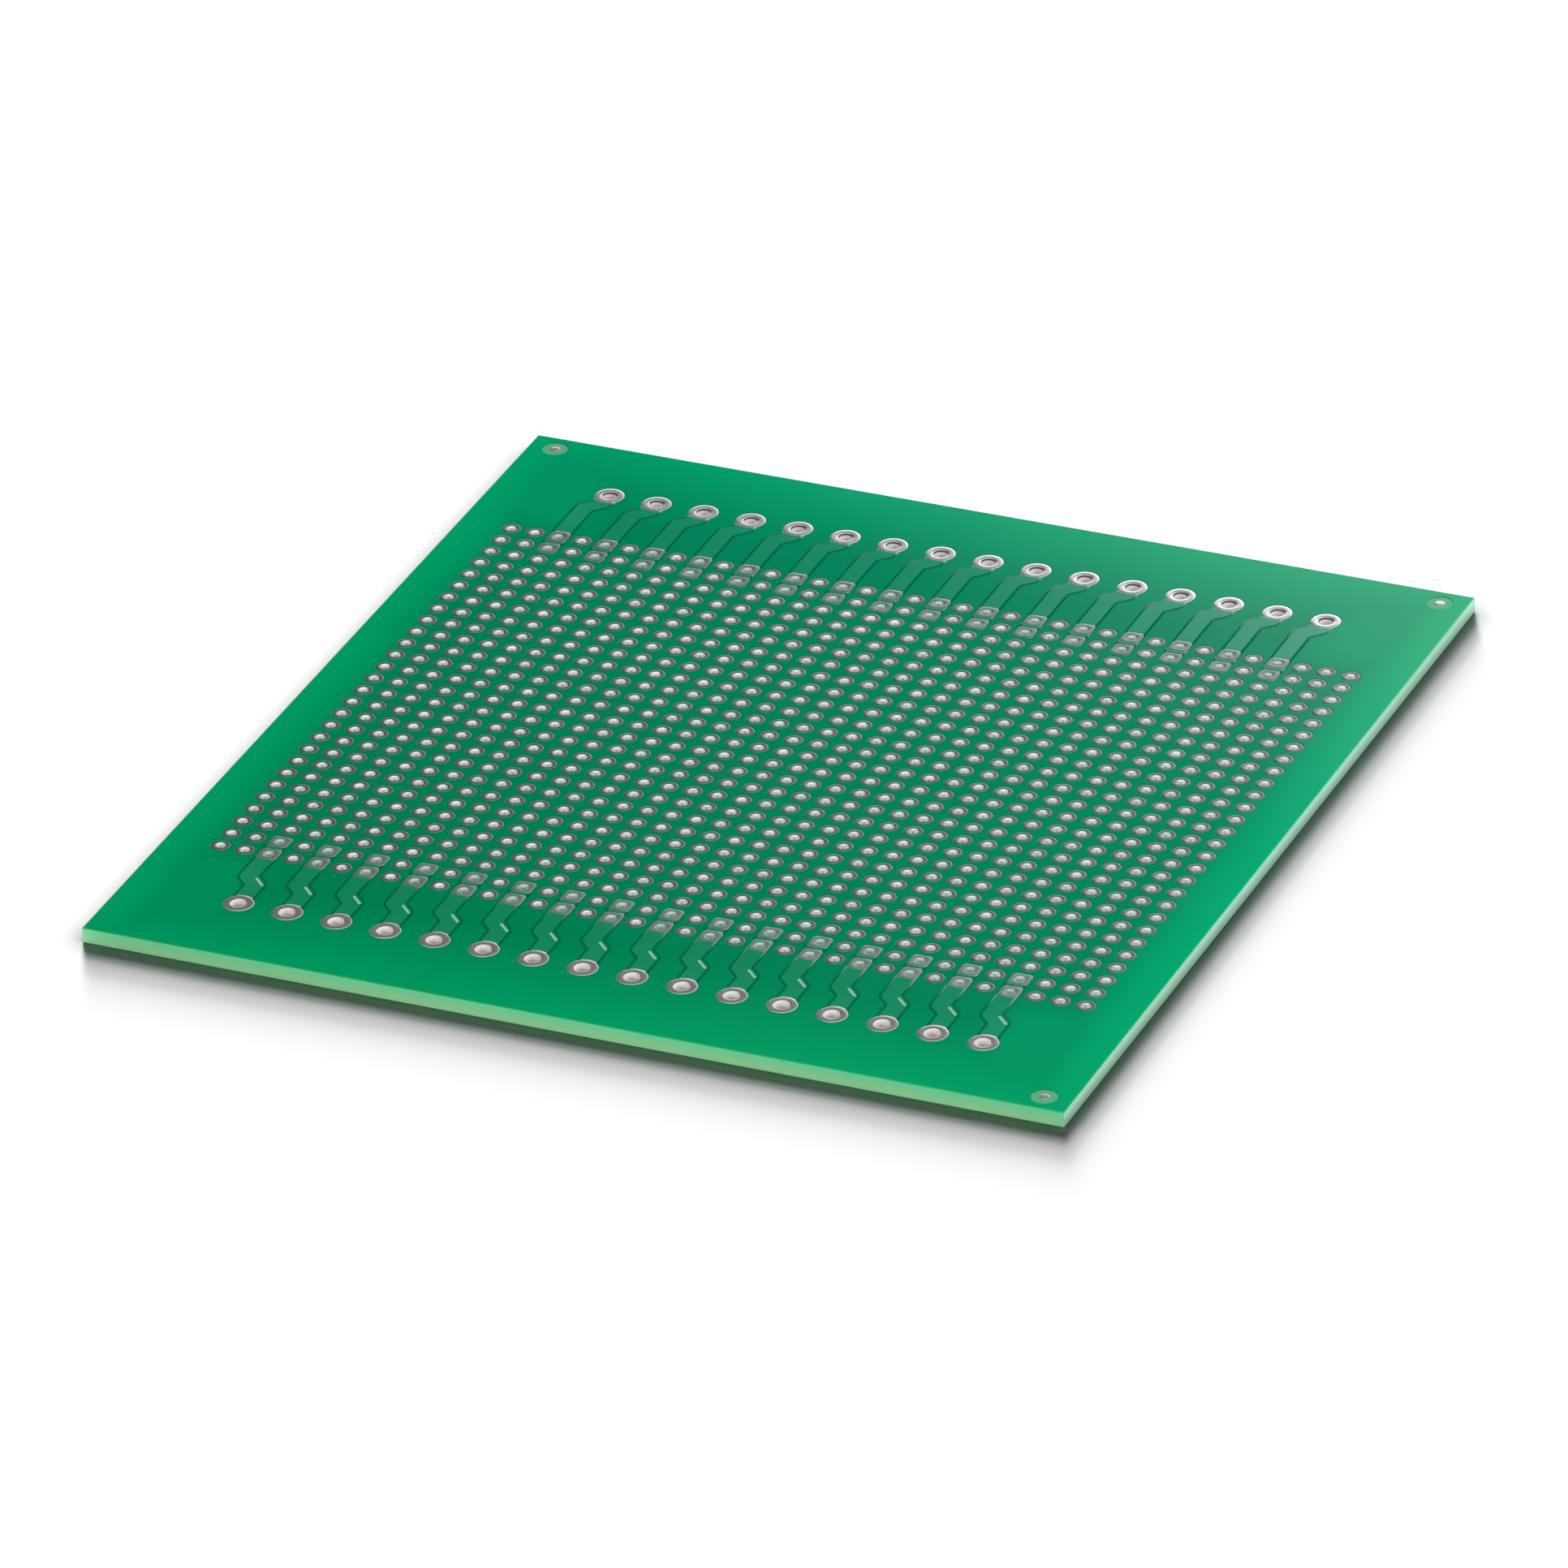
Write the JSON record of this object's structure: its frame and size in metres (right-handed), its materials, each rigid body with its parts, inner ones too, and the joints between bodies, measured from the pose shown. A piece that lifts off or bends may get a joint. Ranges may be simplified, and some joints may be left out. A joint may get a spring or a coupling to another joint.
{
  "type": "bare circuit board",
  "caption": "Bare double-sided prototype circuit board: a field of plated lead holes between two rows of larger terminal holes, each joined by a short track.",
  "frame": {"origin": "middle of the underside", "axes": "+X along the rows of pads and terminals, +Y from the front terminal row to the back one, +Z out of the side with the tracks"},
  "size_m": [0.1, 0.107, 0.0016],
  "materials": {
    "laminate": "glass cloth in epoxy, pale green sawn edge",
    "solder_mask": "glossy green solder mask",
    "tinned_copper": "hot-dipped tin on copper, satin to bright"
  },
  "bodies": {
    "root": {"laminate": "laminate", "solder_mask_top": "solder_mask", "solder_mask_bottom": "solder_mask", "corner_marks": "tinned_copper", "front_link_1": "tinned_copper", "front_link_2": "tinned_copper", "front_link_3": "tinned_copper", "front_link_4": "tinned_copper", "front_link_5": "tinned_copper", "front_link_6": "tinned_copper", "front_link_7": "tinned_copper", "front_link_8": "tinned_copper", "front_link_9": "tinned_copper", "front_link_10": "tinned_copper", "front_link_11": "tinned_copper", "front_link_12": "tinned_copper", "front_link_13": "tinned_copper", "front_link_14": "tinned_copper", "front_link_15": "tinned_copper", "front_link_16": "tinned_copper", "back_link_1": "tinned_copper", "back_link_2": "tinned_copper", "back_link_3": "tinned_copper", "back_link_4": "tinned_copper", "back_link_5": "tinned_copper", "back_link_6": "tinned_copper", "back_link_7": "tinned_copper", "back_link_8": "tinned_copper", "back_link_9": "tinned_copper", "back_link_10": "tinned_copper", "back_link_11": "tinned_copper", "back_link_12": "tinned_copper", "back_link_13": "tinned_copper", "back_link_14": "tinned_copper", "back_link_15": "tinned_copper", "back_link_16": "tinned_copper", "pad_rows_1_2": "tinned_copper", "pad_rows_3_4": "tinned_copper", "pad_rows_5_6": "tinned_copper", "pad_rows_7_8": "tinned_copper", "pad_rows_9_10": "tinned_copper", "pad_rows_11_12": "tinned_copper", "pad_rows_13_14": "tinned_copper", "pad_rows_15_16": "tinned_copper", "pad_rows_17_18": "tinned_copper", "pad_rows_19_20": "tinned_copper", "pad_rows_21_22": "tinned_copper", "pad_rows_23_24": "tinned_copper", "pad_rows_25_26": "tinned_copper", "pad_rows_27_28": "tinned_copper"}
  },
  "joints": []
}
